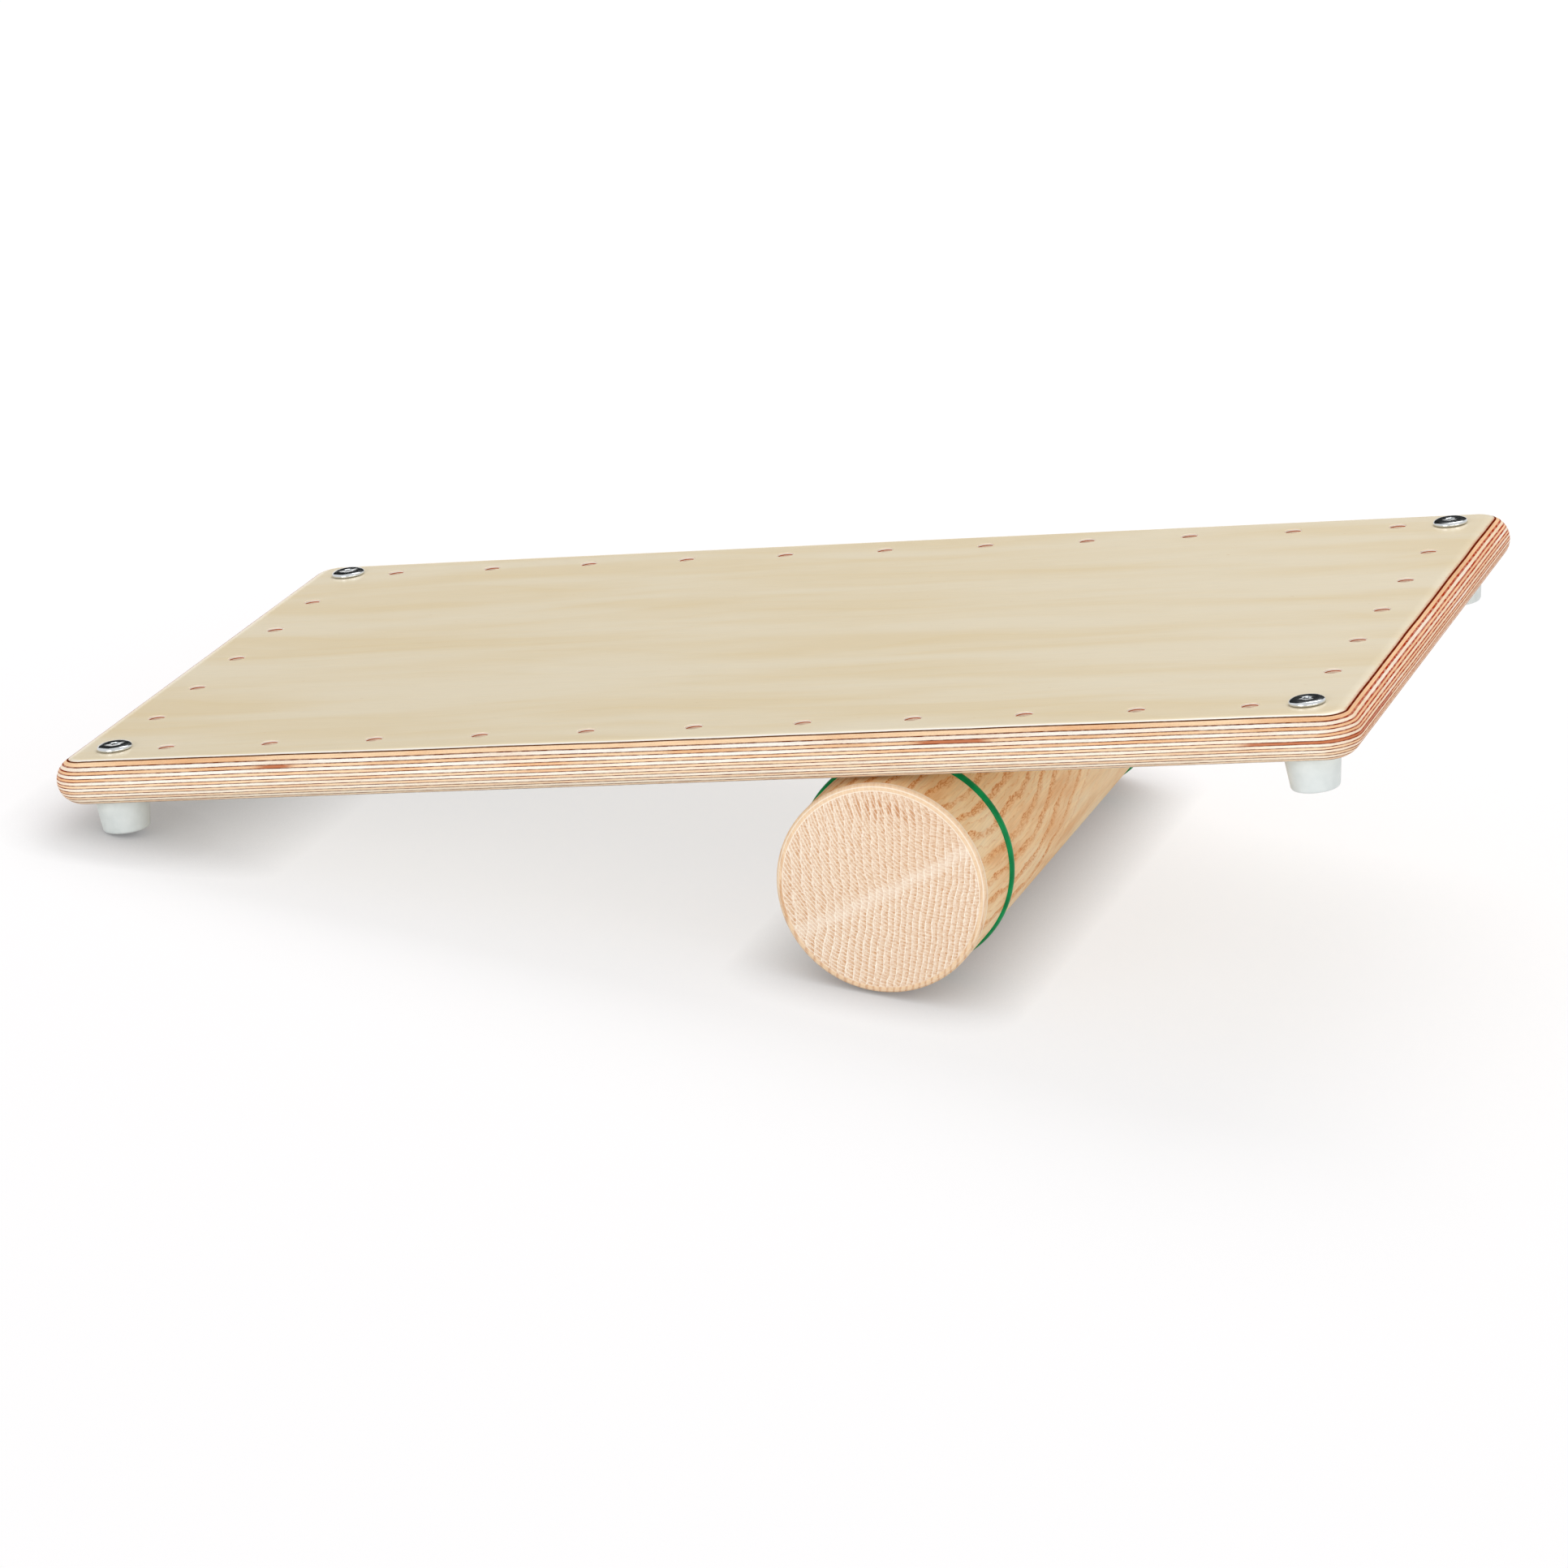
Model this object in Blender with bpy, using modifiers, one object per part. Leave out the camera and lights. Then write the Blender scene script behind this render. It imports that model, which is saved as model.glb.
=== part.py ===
import math

import bmesh
import bpy

# Balance roller board: a plywood deck on four rubber feet that tips over a loose wooden roller
# with two rubber grip rings. +X runs along the deck, +Y away from the front edge, +Z up.
# The roller's axis is parallel to Y above the origin, and the left feet rest on the floor, z = 0.

MM = 0.001
GAP = 0.3 * MM

BOARD_LENGTH = 600 * MM
BOARD_WIDTH = 350 * MM
BOARD_THICKNESS = 21 * MM
BOARD_CORNER_RADIUS = 16 * MM
BULLNOSE_RESOLUTION = 5
CORNER_STEPS = 8

HOLE_DIAMETER = 8 * MM
HOLE_PITCH = 50 * MM
ROW_INSET = 25 * MM
HOLE_SIDES = 24

BOLT_DIAMETER = 6 * MM
BOLT_HEAD_DIAMETER = 16 * MM
BOLT_HEAD_HEIGHT = 2.2 * MM
BOLT_RIM_HEIGHT = 0.6 * MM
BOLT_HEAD_FLAT_RADIUS = 5.2 * MM
BOLT_END_CHAMFER = 0.6 * MM
BOLT_END_STANDOUT = 0.8 * MM
SOCKET_ACROSS_FLATS = 4 * MM
SOCKET_DEPTH = 2.6 * MM

FOOT_HEIGHT = 16 * MM
FOOT_TOP_RADIUS = 12.5 * MM
FOOT_BOTTOM_RADIUS = 10.8 * MM
FOOT_EDGE_RADIUS = 1.6 * MM
FOOT_SEAT_DEPTH = 6.5 * MM
FOOT_RECESS_RADIUS = 6.8 * MM

WASHER_RADIUS = 6.2 * MM
WASHER_THICKNESS = 1.5 * MM
NUT_ACROSS_FLATS = 10 * MM
NUT_HEIGHT = 4.6 * MM

ROLLER_RADIUS = 47.5 * MM
ROLLER_LENGTH = 350 * MM
ROLLER_EDGE_RADIUS = 2.5 * MM
ROLLER_SHIFT_Y = 3.5 * MM
RING_INSET = 41 * MM
RING_CORD_RADIUS = 3 * MM
RING_PROUD = 1.5 * MM
ROUND_STEPS = 72
SMALL_ROUND_STEPS = 32

# Where the deck's centre lies from the roller at rest, along the deck, minus to the left.
DECK_SHIFT = -83 * MM

AXIS_HEIGHT = ROLLER_RADIUS + RING_PROUD
UNDERSIDE = AXIS_HEIGHT + GAP
BOLT_X = BOARD_LENGTH / 2 - ROW_INSET
BOLT_Y = BOARD_WIDTH / 2 - ROW_INSET
SHANK_CLEARANCE = BOLT_DIAMETER / 2 + GAP
CORNERS = (("left_near", -1, -1), ("left_far", -1, 1), ("right_near", 1, -1), ("right_far", 1, 1))


def deck_tilt():
    # The deck touches the rings, and the rounded outer edge of its left feet touches the floor.
    reach = BOLT_X - DECK_SHIFT + FOOT_BOTTOM_RADIUS - FOOT_EDGE_RADIUS
    above = UNDERSIDE - GAP - FOOT_HEIGHT + FOOT_EDGE_RADIUS
    drop = AXIS_HEIGHT - FOOT_EDGE_RADIUS
    return math.asin(drop / math.hypot(reach, above)) + math.atan2(above, reach)


def clear_scene():
    for obj in list(bpy.data.objects):
        bpy.data.objects.remove(obj)


def add_collection(name):
    collection = bpy.data.collections.new(name)
    bpy.context.scene.collection.children.link(collection)
    return collection


def make_material(name, color, roughness, metallic=0.0):
    material = bpy.data.materials.new(name)
    material.use_nodes = True
    shader = material.node_tree.nodes["Principled BSDF"]
    shader.inputs["Base Color"].default_value = (*color, 1.0)
    shader.inputs["Roughness"].default_value = roughness
    shader.inputs["Metallic"].default_value = metallic
    return material


def add_object(name, mesh, collection, parent=None, location=(0, 0, 0), rotation=(0, 0, 0)):
    obj = bpy.data.objects.new(name, mesh)
    obj.parent = parent
    obj.location = location
    obj.rotation_euler = rotation
    collection.objects.link(obj)
    return obj


def add_pivot(name, collection, location, rotation):
    pivot = add_object(name, None, collection, None, location, rotation)
    pivot.empty_display_type = "ARROWS"
    pivot.empty_display_size = 0.05
    return pivot


def arc_points(center, radius, start, end, steps):
    # Angles in degrees from +X, ends included.
    points = []
    for step in range(steps + 1):
        angle = math.radians(start + (end - start) * step / steps)
        points.append((center[0] + radius * math.cos(angle), center[1] + radius * math.sin(angle)))
    return points


def shade_round(mesh, sharp_degrees=35):
    mesh.shade_smooth()
    mesh.set_sharp_from_angle(angle=math.radians(sharp_degrees))


def baked_mesh(obj):
    # The object's shape with its modifiers, as a mesh of its own; the object is removed.
    depsgraph = bpy.context.evaluated_depsgraph_get()
    mesh = bpy.data.meshes.new_from_object(obj.evaluated_get(depsgraph), depsgraph=depsgraph)
    bm = bmesh.new()
    bm.from_mesh(mesh)
    bmesh.ops.remove_doubles(bm, verts=bm.verts, dist=GAP / 30)
    bm.to_mesh(mesh)
    bm.free()
    bpy.data.objects.remove(obj)
    return mesh


def turned_mesh(name, profile, steps, collection, closed=False):
    # The profile is in (radius, height); a closed one makes a ring with a bore.
    mesh = bpy.data.meshes.new(name)
    count = len(profile)
    edges = [(i, (i + 1) % count) for i in range(count if closed else count - 1)]
    mesh.from_pydata([(radius, 0, height) for radius, height in profile], edges, [])
    obj = add_object(name, mesh, collection)
    screw = obj.modifiers.new("turn", "SCREW")
    screw.steps = steps
    screw.render_steps = steps
    screw.use_merge_vertices = True
    screw.merge_threshold = GAP / 10
    turned = baked_mesh(obj)
    turned.name = name
    shade_round(turned)
    return turned


def add_cutter(name, cuts, collection, parent=None, location=(0, 0, 0), rotation=(0, 0, 0)):
    # Each cut is a prism along Z: its number of sides, corner radius, centre and length.
    bm = bmesh.new()
    for sides, radius, center, length in cuts:
        made = bmesh.ops.create_cone(
            bm, cap_ends=True, segments=sides, radius1=radius, radius2=radius, depth=length)
        bmesh.ops.translate(bm, verts=made["verts"], vec=center)
    mesh = bpy.data.meshes.new(name)
    bm.to_mesh(mesh)
    bm.free()
    cutter = add_object(name, mesh, collection, parent, location, rotation)
    cutter.hide_render = True
    cutter.display_type = "WIRE"
    return cutter


def cut(obj, cutter):
    boolean = obj.modifiers.new("cut_" + cutter.name, "BOOLEAN")
    boolean.operation = "DIFFERENCE"
    boolean.solver = "EXACT"
    boolean.object = cutter


def hole_positions():
    # Plain holes along all four edges at one pitch, between the corner bolts.
    along = [HOLE_PITCH * step for step in range(-5, 6)]
    across = [HOLE_PITCH * step for step in range(-2, 3)]
    rows = [(x, side * BOLT_Y) for side in (-1, 1) for x in along]
    columns = [(side * BOLT_X, y) for side in (-1, 1) for y in across]
    return rows + columns


def board_outline():
    half_x = BOARD_LENGTH / 2 - BOARD_CORNER_RADIUS
    half_y = BOARD_WIDTH / 2 - BOARD_CORNER_RADIUS
    points = []
    for start, x, y in ((0, half_x, half_y), (90, -half_x, half_y),
                        (180, -half_x, -half_y), (270, half_x, -half_y)):
        points += arc_points((x, y), BOARD_CORNER_RADIUS, start, start + 90, CORNER_STEPS)
    return points


def board_blank(collection):
    # A flat outline whose bevel depth rounds the whole edge to a full bullnose.
    curve = bpy.data.curves.new("board_outline", "CURVE")
    curve.dimensions = "2D"
    curve.fill_mode = "BOTH"
    curve.bevel_depth = BOARD_THICKNESS / 2
    curve.bevel_resolution = BULLNOSE_RESOLUTION
    curve.offset = -BOARD_THICKNESS / 2
    points = board_outline()
    spline = curve.splines.new("POLY")
    spline.points.add(len(points) - 1)
    for point, (x, y) in zip(spline.points, points):
        point.co = (x, y, 0, 1)
    spline.use_cyclic_u = True
    mesh = baked_mesh(add_object("board_outline", curve, collection))
    mesh.name = "board"
    return mesh


def build_board(parts, cutters, pivot, material):
    place = (DECK_SHIFT, 0, UNDERSIDE + BOARD_THICKNESS / 2)
    board = add_object("board", board_blank(parts), parts, pivot, place)
    board.data.materials.append(material)
    shade_round(board.data)
    length = 2 * BOARD_THICKNESS
    cuts = [(HOLE_SIDES, HOLE_DIAMETER / 2, (x, y, 0), length) for x, y in hole_positions()]
    cuts += [(HOLE_SIDES, SHANK_CLEARANCE, (sx * BOLT_X, sy * BOLT_Y, 0), length)
             for _, sx, sy in CORNERS]
    cut(board, add_cutter("board_holes", cuts, cutters, pivot, place))


def bolt_profile():
    # A low dome with a thin upright rim, on a plain shank that ends in a chamfer.
    nut_end = GAP + FOOT_SEAT_DEPTH + WASHER_THICKNESS + NUT_HEIGHT + 2 * GAP
    tip = -(GAP + BOARD_THICKNESS + nut_end + BOLT_END_STANDOUT)
    head = BOLT_HEAD_DIAMETER / 2
    shank = BOLT_DIAMETER / 2
    dome = []
    for step in range(7):
        angle = math.radians(90 - 90 * step / 6)
        dome.append((BOLT_HEAD_FLAT_RADIUS + (head - BOLT_HEAD_FLAT_RADIUS) * math.cos(angle),
                     BOLT_RIM_HEIGHT + (BOLT_HEAD_HEIGHT - BOLT_RIM_HEIGHT) * math.sin(angle)))
    return [(0, BOLT_HEAD_HEIGHT), *dome, (head, 0), (shank, 0), (shank, tip + BOLT_END_CHAMFER),
            (shank - BOLT_END_CHAMFER, tip), (0, tip)]


def foot_profile():
    # A tapered buffer with a rounded lower edge and a recess below for the washer and nut.
    edge = (FOOT_BOTTOM_RADIUS - FOOT_EDGE_RADIUS, -FOOT_HEIGHT + FOOT_EDGE_RADIUS)
    return [(FOOT_TOP_RADIUS, 0), *arc_points(edge, FOOT_EDGE_RADIUS, 0, -90, 5),
            (FOOT_RECESS_RADIUS, -FOOT_HEIGHT), (FOOT_RECESS_RADIUS, -FOOT_SEAT_DEPTH),
            (SHANK_CLEARANCE, -FOOT_SEAT_DEPTH), (SHANK_CLEARANCE, 0)]


def washer_profile():
    return [(WASHER_RADIUS, 0), (WASHER_RADIUS, -WASHER_THICKNESS),
            (SHANK_CLEARANCE, -WASHER_THICKNESS), (SHANK_CLEARANCE, 0)]


def build_bolts(parts, cutters, pivot, material):
    mesh = turned_mesh("bolt", bolt_profile(), SMALL_ROUND_STEPS, parts)
    mesh.materials.append(material)
    corner = SOCKET_ACROSS_FLATS / 2 / math.cos(math.radians(30))
    socket = [(6, corner, (0, 0, BOLT_HEAD_HEIGHT), 2 * SOCKET_DEPTH)]
    for label, sx, sy in CORNERS:
        place = (DECK_SHIFT + sx * BOLT_X, sy * BOLT_Y, UNDERSIDE + BOARD_THICKNESS + GAP)
        bolt = add_object("bolt_" + label, mesh, parts, pivot, place)
        cut(bolt, add_cutter("socket_" + label, socket, cutters, pivot, place))


def build_feet(parts, pivot, material):
    mesh = turned_mesh("foot", foot_profile(), SMALL_ROUND_STEPS, parts, closed=True)
    mesh.materials.append(material)
    for label, sx, sy in CORNERS:
        place = (DECK_SHIFT + sx * BOLT_X, sy * BOLT_Y, UNDERSIDE - GAP)
        add_object("foot_" + label, mesh, parts, pivot, place)


def build_washers(parts, pivot, material):
    mesh = turned_mesh("washer", washer_profile(), SMALL_ROUND_STEPS, parts, closed=True)
    mesh.materials.append(material)
    for label, sx, sy in CORNERS:
        place = (DECK_SHIFT + sx * BOLT_X, sy * BOLT_Y, UNDERSIDE - FOOT_SEAT_DEPTH - 2 * GAP)
        add_object("washer_" + label, mesh, parts, pivot, place)


def nut_mesh(material):
    bm = bmesh.new()
    corner = NUT_ACROSS_FLATS / 2 / math.cos(math.radians(30))
    bmesh.ops.create_cone(
        bm, cap_ends=True, segments=6, radius1=corner, radius2=corner, depth=NUT_HEIGHT)
    mesh = bpy.data.meshes.new("nut")
    bm.to_mesh(mesh)
    bm.free()
    mesh.materials.append(material)
    return mesh


def build_nuts(parts, cutters, pivot, material):
    mesh = nut_mesh(material)
    drop = FOOT_SEAT_DEPTH + WASHER_THICKNESS + NUT_HEIGHT / 2 + 3 * GAP
    bore = [(HOLE_SIDES, SHANK_CLEARANCE, (0, 0, 0), 2 * NUT_HEIGHT)]
    for label, sx, sy in CORNERS:
        place = (DECK_SHIFT + sx * BOLT_X, sy * BOLT_Y, UNDERSIDE - drop)
        nut = add_object("nut_" + label, mesh, parts, pivot, place)
        cut(nut, add_cutter("nut_bore_" + label, bore, cutters, pivot, place))


def groove_points(height):
    # A round-bottomed groove around the ring's cord, from its upper lip to its lower one.
    center = AXIS_HEIGHT - RING_CORD_RADIUS
    radius = RING_CORD_RADIUS + GAP
    lip = math.degrees(math.acos((ROLLER_RADIUS - center) / radius))
    return arc_points((center, height), radius, lip, 360 - lip, 10)


def roller_profile():
    half = ROLLER_LENGTH / 2
    edge = ROLLER_EDGE_RADIUS
    side = ROLLER_RADIUS - edge
    return [(0, half), *arc_points((side, half - edge), edge, 90, 0, 4),
            *groove_points(half - RING_INSET), *groove_points(RING_INSET - half),
            *arc_points((side, edge - half), edge, 0, -90, 4), (0, -half)]


def build_roller(parts, material):
    mesh = turned_mesh("roller_core", roller_profile(), ROUND_STEPS, parts)
    mesh.materials.append(material)
    place = (0, ROLLER_SHIFT_Y, AXIS_HEIGHT)
    add_object("roller_core", mesh, parts, None, place, (math.radians(90), 0, 0))


def build_rings(parts, material):
    reach = ROLLER_LENGTH / 2 - RING_INSET
    for label, side in (("near", -1), ("far", 1)):
        bpy.ops.mesh.primitive_torus_add(
            major_segments=ROUND_STEPS, minor_segments=16,
            major_radius=AXIS_HEIGHT - RING_CORD_RADIUS, minor_radius=RING_CORD_RADIUS,
            location=(0, ROLLER_SHIFT_Y + side * reach, AXIS_HEIGHT),
            rotation=(math.radians(90), 0, 0))
        ring = bpy.context.object
        ring.name = "grip_ring_" + label
        ring.data.name = ring.name
        ring.data.materials.append(material)
        ring.data.shade_smooth()
        for collection in list(ring.users_collection):
            collection.objects.unlink(ring)
        parts.objects.link(ring)


def main():
    clear_scene()
    parts = add_collection("balance_roller_board")
    cutters = add_collection("cutters")
    birch = make_material("lacquered_birch", (0.72, 0.63, 0.44), 0.4)
    ash = make_material("sanded_ash", (0.79, 0.60, 0.36), 0.55)
    green_rubber = make_material("green_rubber", (0.004, 0.24, 0.09), 0.5)
    grey_rubber = make_material("light_grey_rubber", (0.77, 0.80, 0.78), 0.6)
    nickel = make_material("nickel_plated_steel", (0.72, 0.74, 0.76), 0.15, 1.0)
    zinc = make_material("zinc_plated_steel", (0.62, 0.64, 0.66), 0.35, 1.0)

    pivot = add_pivot("deck_pivot", parts, (0, 0, AXIS_HEIGHT), (0, -deck_tilt(), 0))
    bpy.context.view_layer.update()
    build_board(parts, cutters, pivot, birch)
    build_bolts(parts, cutters, pivot, nickel)
    build_feet(parts, pivot, grey_rubber)
    build_washers(parts, pivot, zinc)
    build_nuts(parts, cutters, pivot, zinc)
    build_roller(parts, ash)
    build_rings(parts, green_rubber)


main()
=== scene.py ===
import math
from functools import partial

import bmesh
import bpy
from mathutils import Matrix, Vector


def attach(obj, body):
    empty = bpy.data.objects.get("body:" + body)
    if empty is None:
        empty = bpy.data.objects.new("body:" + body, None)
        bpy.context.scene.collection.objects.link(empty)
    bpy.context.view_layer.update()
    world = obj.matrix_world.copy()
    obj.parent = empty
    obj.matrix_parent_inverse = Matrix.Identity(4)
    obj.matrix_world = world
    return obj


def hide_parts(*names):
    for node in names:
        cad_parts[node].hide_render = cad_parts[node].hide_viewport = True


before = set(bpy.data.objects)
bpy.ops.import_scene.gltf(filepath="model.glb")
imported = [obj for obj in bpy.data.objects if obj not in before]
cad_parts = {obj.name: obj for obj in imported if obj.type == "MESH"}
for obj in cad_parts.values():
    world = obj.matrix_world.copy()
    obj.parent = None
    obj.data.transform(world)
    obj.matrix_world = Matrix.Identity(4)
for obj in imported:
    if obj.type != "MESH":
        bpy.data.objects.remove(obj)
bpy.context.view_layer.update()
print("frame loaded:", len(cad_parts), "nodes")

# Balance roller board: a lacquered plywood deck on four rubber feet, tipped over a turned ash
# roller with two green rubber rings. Metres, +X along the deck, +Y away from the front edge.

millimetre = 0.001
fullTurn = 2 * math.pi


# Helpers

def linearColor(hexText):
    channels = [int(hexText[i:i + 2], 16) / 255 for i in (1, 3, 5)]
    linear = [c / 12.92 if c <= 0.04045 else ((c + 0.055) / 1.055) ** 2.4 for c in channels]
    return (*linear, 1.0)


# Which property the mode of a node sets.
modeNames = {"Math": "operation", "VectorMath": "operation", "Mix": "data_type",
             "MapRange": "interpolation_type"}


def setInputs(node, inputs):
    # Inputs are named, or listed in order. Each is a number, a vector, a hex colour, a socket or
    # another node, which stands for its first open output.
    for key, value in inputs.items() if isinstance(inputs, dict) else enumerate(inputs):
        openSockets = [s for s in node.inputs if s.enabled]
        socket = openSockets[key] if isinstance(key, int) else next(
            s for s in openSockets if s.name == key)
        if isinstance(value, bpy.types.Node):
            value = next(s for s in value.outputs if s.enabled)
        if isinstance(value, bpy.types.NodeSocket):
            node.id_data.links.new(value, socket)
        else:
            socket.default_value = linearColor(value) if isinstance(value, str) else value


def addNode(tree, kind, inputs=(), mode=None, stops=(), **settings):
    # A kind named without its family is a shader node. Settings are its properties besides the
    # mode, and stops fill a colour ramp with hex colours or greys.
    family = "" if kind.startswith(("Geometry", "NodeGroup")) else "ShaderNode"
    node = tree.nodes.new(family + kind)
    if mode:
        setattr(node, modeNames.get(kind, "mode"), mode)
    for name, value in settings.items():
        setattr(node, name, value)
    if stops:
        elements = node.color_ramp.elements
        while len(elements) < len(stops):
            elements.new(1.0)
        for element, (position, tone) in zip(elements, stops):
            element.position = position
            element.color = linearColor(tone) if isinstance(tone, str) else (tone, tone, tone, 1)
    setInputs(node, inputs)
    return node


def newMaterial(name):
    # With the function that adds nodes to it, and its shader.
    material = bpy.data.materials.new(name)
    material.use_nodes = True
    tree = material.node_tree
    return material, partial(addNode, tree), tree.nodes["Principled BSDF"]


def inMillimetres(add, **placing):
    # Object coordinates, in metres, as millimetres from a chosen place.
    return add("Mapping", {"Vector": add("TexCoord").outputs["Object"],
        "Scale": (1 / millimetre,) * 3, **placing})


def stretchedNoises(add, local, noises):
    # Each is given by its size in mm along X, Y and Z, with 0 for a direction in which it stays
    # the same, and by its detail and roughness.
    made = []
    for size, detail, roughness in noises.values():
        scaled = add("VectorMath", [local, [1 / mm if mm else 0 for mm in size]], "MULTIPLY")
        made.append(add("TexNoise", {"Vector": scaled, "Scale": 1.0, "Detail": detail,
            "Roughness": roughness}))
    return made


def addObject(name, mesh):
    obj = bpy.data.objects.new(name, mesh)
    bpy.context.scene.collection.objects.link(obj)
    return obj


def newTree(name, inputs):
    # A Geometry Nodes tree with named inputs, given as name and socket type.
    tree = bpy.data.node_groups.new(name, "GeometryNodeTree")
    face = tree.interface
    for label, kind in (("Geometry", "Geometry"), *inputs):
        face.new_socket(label, in_out="INPUT", socket_type="NodeSocket" + kind)
    face.new_socket("Geometry", in_out="OUTPUT", socket_type="NodeSocketGeometry")
    add = partial(addNode, tree)
    return tree, add, {s.name: s for s in add("NodeGroupInput").outputs if s.name}


def endTree(add, geometry, given):
    # Turned by the tilt and put in place, made real, and given its material.
    turn = add("CombineXYZ", {"Y": given["Tilt"]})
    placed = add("GeometryNodeTransform", {"Geometry": geometry, "Translation": given["Place"],
        "Rotation": turn})
    real = add("GeometryNodeRealizeInstances", [placed])
    add("NodeGroupOutput",
        [add("GeometryNodeSetMaterial", {"Geometry": real, "Material": given["Material"]})])


def joined(add, parts):
    node = add("GeometryNodeJoinGeometry")
    for part in parts:
        setInputs(node, [part])
    return node


def bakeTree(name, mesh, tree, values):
    # Runs the tree on the mesh and keeps the result as a plain mesh object at the origin.
    obj = addObject(name, mesh)
    modifier = obj.modifiers.new(tree.name, "NODES")
    modifier.node_group = tree
    for item in tree.interface.items_tree:
        if item.in_out == "INPUT" and item.name in values:
            modifier[item.identifier] = values[item.name]
    depsgraph = bpy.context.evaluated_depsgraph_get()
    baked = bpy.data.meshes.new_from_object(obj.evaluated_get(depsgraph), depsgraph=depsgraph)
    obj.modifiers.remove(modifier)
    obj.data = baked
    baked.name = name
    return obj


def arcRows(center, radius, start, end, steps):
    # Points of an arc in (radius, height), angles in degrees from the outward direction.
    angles = [math.radians(start + (end - start) * i / steps) for i in range(steps + 1)]
    return [(center[0] + radius * math.cos(a), center[1] + radius * math.sin(a)) for a in angles]


def turnedMesh(name, rows, steps, closed=False, sharpDegrees=32):
    # Each row is a radius and a height, and a third number that turns the circle to a hexagon.
    verts = []
    rings = []
    for radius, height, *hexShare in rows:
        if radius == 0:
            rings.append([len(verts)] * steps)
            verts.append((0, 0, height))
            continue
        ring = []
        for step in range(steps):
            angle = fullTurn * step / steps
            reach = radius
            if hexShare:
                toFlat = math.cos((angle + math.pi / 6) % (math.pi / 3) - math.pi / 6)
                reach = radius * (1 - hexShare[0] + hexShare[0] / toFlat)
            ring.append(len(verts))
            verts.append((reach * math.cos(angle), reach * math.sin(angle), height))
        rings.append(ring)
    faces = []
    for upper, lower in zip(rings, rings[1:] + (rings[:1] if closed else [])):
        for step in range(steps):
            after = (step + 1) % steps
            corners = (upper[step], lower[step], lower[after], upper[after])
            faces.append(tuple(dict.fromkeys(corners)))
    mesh = bpy.data.meshes.new(name)
    mesh.from_pydata(verts, [], faces)
    bm = bmesh.new()
    bm.from_mesh(mesh)
    bmesh.ops.recalc_face_normals(bm, faces=bm.faces)
    bm.to_mesh(mesh)
    bm.free()
    mesh.shade_smooth()
    mesh.set_sharp_from_angle(angle=math.radians(sharpDegrees))
    return mesh


# Where the deck lies: its own axes hang on a pivot at the roller's axis.

deckPlace = {
    "pivot": Vector((0, 0, 0.049)),
    "tilt": math.radians(12.766721),
    "shift": -0.083,
    "underside": 0.0493,
}
deckTurn = Matrix.Rotation(-deckPlace["tilt"], 3, "Y")


def deckPoint(along, across, up):
    # A point given from the deck's centre, with up measured from its underside.
    lift = deckPlace["underside"] + up
    return deckPlace["pivot"] + deckTurn @ Vector((deckPlace["shift"] + along, across, lift))


# Materials

# Birch plywood, satin lacquered. The whole sheet is one solid pattern in layers, so the rounded
# edge and the drilled holes show the same plies: pale ones with long grain, peach ones cut across.
birchLook = {
    "veneer": "#EDDAB4",
    "veneerLight": "#F1E3C6",
    "veneerYellow": "#E9D09C",
    "fleck": "#CF9F66",
    "paleLong": "#FFF8EC",
    "paleEnd": "#F6D6B0",
    "peachLong": "#FCD7AE",
    "peachEnd": "#FAC898",
    "blush": "#FCE8D2",
    "peachDeep": "#EFB988",
    "lowLong": "#FDECD2",
    "lowEndShade": "#E2B184",
    "glueLong": "#6A2A0C",
    "glueEnd": "#A82A00",
    "glueLow": "#8E4418",
    "glueFirst": ("#5C3216", "#6A1600"),     # long and short edges
    "glueBorePaintedLight": "#BE5E26",
    "arrisGlow": "#D88A58",
    "veneerHighlight": "#FFFAF0",
    "borePaintedLight": "#FFF3E0",
    "rust": "#B95A28",
    "faceVeneer": 1.125,     # mm
    "sandedOff": 0.375,      # mm, taken from each face, where the next ply shows wider
    "peachPly": 1.35,        # mm
    "palePly": 1.55,         # mm
    "waver": 0.42,           # mm, of which the plies use about half
    "glueHalf": 0.14,        # mm, drawn about twice its real width so that it shows
    "glueFade": 0.10,        # mm
    "glueWiderAtEnd": 0.9,   # share, also in the holes
    "firstThinner": 0.4,     # share
    "toneLength": 55,        # mm, over which the tone of a ply changes
    "lowFrom": (7, 17),      # mm below the top, where the low tones start and are full
    "lowShare": 0.55,
    "stains": ((4, -198, -181), (4, 107, 141), (8, 250, 330)),  # ply, from, to in mm
    "figurePitch": 17,       # mm between the lines of the figure
    "figureBend": 5.5,       # lines
    "bumpDepth": 0.2,        # mm
    "roughness": 0.46,
    "refraction": 1.48,
    "sheen": (0.25, 0.5),    # edge, faces
    "lacquer": (0.05, 0.5),  # edge, where it soaks in, and faces
    "lacquerRoughness": 0.15,
    "noises": {              # size in mm along, across and up, then detail and roughness
        "sway": ((70, 70, 9), 2, 0.5),
        "fibre": ((9, 9, 0.28), 4, 0.6),
        "broad": ((240, 34, 40), 3, 0.5),
        "bend": ((210, 90, 0), 1, 0.5),
        "grain": ((16, 0.6, 2), 4, 0.65),
        "fleck": ((4.5, 1.1, 0), 1, 0.5),
        "glueBreak": ((4, 4, 1.4), 3, 0.7),
    },
}


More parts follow.
